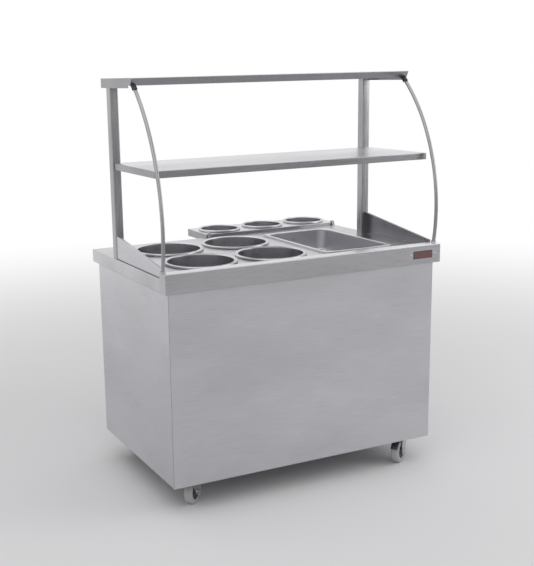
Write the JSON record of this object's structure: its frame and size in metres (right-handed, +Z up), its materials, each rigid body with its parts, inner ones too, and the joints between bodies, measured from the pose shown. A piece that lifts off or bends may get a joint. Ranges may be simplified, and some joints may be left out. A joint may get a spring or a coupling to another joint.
{
  "type": "mobile salad bar",
  "caption": "Stainless counter on castors with lift-out pots and a pan over an ice tank, two serving shelves on posts and bows, and a rear condiment ledge.",
  "frame": {"origin": "on the floor, under the middle of the overall outline in plan", "axes": "+X to the right as the customer faces it, +Y towards the operator's side with the ledge and doors, +Z up"},
  "size_m": [1.21, 0.9786, 1.607],
  "materials": {
    "brushed_sheet": "brushed stainless sheet",
    "dark_sheet": "brushed stainless sheet, shaded side",
    "bright_sheet": "fine brushed stainless sheet",
    "polished_tube": "polished round tube",
    "bright_pot": "bright drawn stainless",
    "zinc": "bright zinc plate",
    "black_plastic": "matte moulded",
    "black_metal": "satin black",
    "tyre": "grey rubber tread",
    "foam": "rigid foam board",
    "brass": "cast and turned",
    "red_lever": "red dipped coating",
    "maroon_plate": "blank, low gloss",
    "pipe": "grey drain pipe"
  },
  "bodies": {
    "counter": {"chassis_frame": "dark_sheet", "base_pan": "dark_sheet", "front_panel": "brushed_sheet", "side_panel_left": "brushed_sheet", "side_panel_right": "brushed_sheet", "back_frame": "brushed_sheet", "storage_shelf": "brushed_sheet", "counter_top": "bright_sheet", "front_channel": "dark_sheet", "ice_tank": "brushed_sheet", "tank_insulation": "foam", "drain_pipe": "pipe", "drain_valve": "brass", "end_plate_left": "brushed_sheet", "end_plate_right": "brushed_sheet", "post_left": "brushed_sheet", "post_right": "brushed_sheet", "middle_shelf": "bright_sheet", "top_shelf": "bright_sheet", "shelf_cleats": "zinc", "bow_left": "polished_tube", "bow_right": "polished_tube", "bow_sockets": "black_plastic", "bow_feet": "zinc", "condiment_ledge": "bright_sheet", "ledge_brackets": "dark_sheet", "ledge_hooks": "zinc", "name_plate": "maroon_plate", "name_plate_screws": "zinc", "castor_plates": "zinc", "castor_bolts": "zinc", "door_track_top": "dark_sheet", "door_track_bottom": "dark_sheet"},
    "drain_lever": {"valve_lever": "red_lever"},
    "left_door": {"door_left": "brushed_sheet", "door_pull_left": "black_plastic"},
    "right_door": {"door_right": "brushed_sheet", "door_pull_right": "black_plastic"},
    "pot_back_left_body": {"pot_back_left": "bright_pot"},
    "pot_front_left_body": {"pot_front_left": "bright_pot"},
    "pot_back_right_body": {"pot_back_right": "bright_pot"},
    "pot_front_right_body": {"pot_front_right": "bright_pot"},
    "small_pot_left_body": {"small_pot_left": "bright_pot"},
    "small_pot_middle_body": {"small_pot_middle": "bright_pot"},
    "small_pot_right_body": {"small_pot_right": "bright_pot"},
    "serving_pan_body": {"serving_pan": "bright_pot"},
    "front_left_castor": {"castor_fork_fl": "zinc", "castor_axle_fl": "zinc"},
    "front_left_wheel": {"castor_wheel_fl": "tyre"},
    "front_right_castor": {"castor_fork_fr": "zinc", "castor_axle_fr": "zinc"},
    "front_right_wheel": {"castor_wheel_fr": "tyre"},
    "rear_left_castor": {"castor_fork_rl": "zinc", "castor_axle_rl": "zinc"},
    "rear_left_wheel": {"castor_wheel_rl": "tyre"},
    "rear_right_castor": {"castor_fork_rr": "zinc", "castor_axle_rr": "zinc"},
    "rear_right_wheel": {"castor_wheel_rr": "tyre"},
    "front_left_brake": {"brake_pedal_fl": "black_metal"},
    "front_right_brake": {"brake_pedal_fr": "black_metal"}
  },
  "joints": [
    {"name": "pot_back_left_lift", "type": "slide", "parent": "counter", "child": "pot_back_left_body", "axis": [0, 0, 1], "range_m": [0, 0.25]},
    {"name": "pot_front_left_lift", "type": "slide", "parent": "counter", "child": "pot_front_left_body", "axis": [0, 0, 1], "range_m": [0, 0.25]},
    {"name": "pot_back_right_lift", "type": "slide", "parent": "counter", "child": "pot_back_right_body", "axis": [0, 0, 1], "range_m": [0, 0.25]},
    {"name": "pot_front_right_lift", "type": "slide", "parent": "counter", "child": "pot_front_right_body", "axis": [0, 0, 1], "range_m": [0, 0.25]},
    {"name": "small_pot_left_lift", "type": "slide", "parent": "counter", "child": "small_pot_left_body", "axis": [0, 0, 1], "range_m": [0, 0.2]},
    {"name": "small_pot_middle_lift", "type": "slide", "parent": "counter", "child": "small_pot_middle_body", "axis": [0, 0, 1], "range_m": [0, 0.2]},
    {"name": "small_pot_right_lift", "type": "slide", "parent": "counter", "child": "small_pot_right_body", "axis": [0, 0, 1], "range_m": [0, 0.2]},
    {"name": "serving_pan_lift", "type": "slide", "parent": "counter", "child": "serving_pan_body", "axis": [0, 0, 1], "range_m": [0, 0.2]},
    {"name": "left_door_slide", "type": "slide", "parent": "counter", "child": "left_door", "axis": [1, 0, 0], "range_m": [0, 0.5]},
    {"name": "right_door_slide", "type": "slide", "parent": "counter", "child": "right_door", "axis": [-1, 0, 0], "range_m": [0, 0.5]},
    {"name": "drain_lever_turn", "type": "hinge", "parent": "counter", "child": "drain_lever", "pos_m": [0.4245, -0.26065, 0.5885], "axis": [0, -1, 0], "range_deg": [0, 90]},
    {"name": "front_left_swivel", "type": "hinge", "parent": "counter", "child": "front_left_castor", "pos_m": [-0.493, -0.39865, 0.112], "axis": [0, 0, 1], "continuous": true},
    {"name": "front_left_roll", "type": "hinge", "parent": "front_left_castor", "child": "front_left_wheel", "pos_m": [-0.46922, -0.37724, 0.05], "axis": [-0.6691, 0.7431, 0], "continuous": true},
    {"name": "front_left_brake_press", "type": "hinge", "parent": "front_left_castor", "child": "front_left_brake", "pos_m": [-0.46476, -0.37322, 0.11], "axis": [-0.6691, 0.7431, 0], "range_deg": [0, 8]},
    {"name": "front_right_swivel", "type": "hinge", "parent": "counter", "child": "front_right_castor", "pos_m": [0.493, -0.39865, 0.112], "axis": [0, 0, 1], "continuous": true},
    {"name": "front_right_roll", "type": "hinge", "parent": "front_right_castor", "child": "front_right_wheel", "pos_m": [0.46679, -0.417, 0.05], "axis": [0.5736, -0.8192, 0], "continuous": true},
    {"name": "front_right_brake_press", "type": "hinge", "parent": "front_right_castor", "child": "front_right_brake", "pos_m": [0.46187, -0.42045, 0.11], "axis": [0.5736, -0.8192, 0], "range_deg": [0, 8]},
    {"name": "rear_left_swivel", "type": "hinge", "parent": "counter", "child": "rear_left_castor", "pos_m": [-0.493, 0.20135, 0.112], "axis": [0, 0, 1], "continuous": true},
    {"name": "rear_left_roll", "type": "hinge", "parent": "rear_left_castor", "child": "rear_left_wheel", "pos_m": [-0.4617, 0.1947, 0.05], "axis": [0.2079, 0.9781, 0], "continuous": true},
    {"name": "rear_right_swivel", "type": "hinge", "parent": "counter", "child": "rear_right_castor", "pos_m": [0.493, 0.20135, 0.112], "axis": [0, 0, 1], "continuous": true},
    {"name": "rear_right_roll", "type": "hinge", "parent": "rear_right_castor", "child": "rear_right_wheel", "pos_m": [0.4617, 0.208, 0.05], "axis": [-0.2079, -0.9781, 0], "continuous": true}
  ]
}
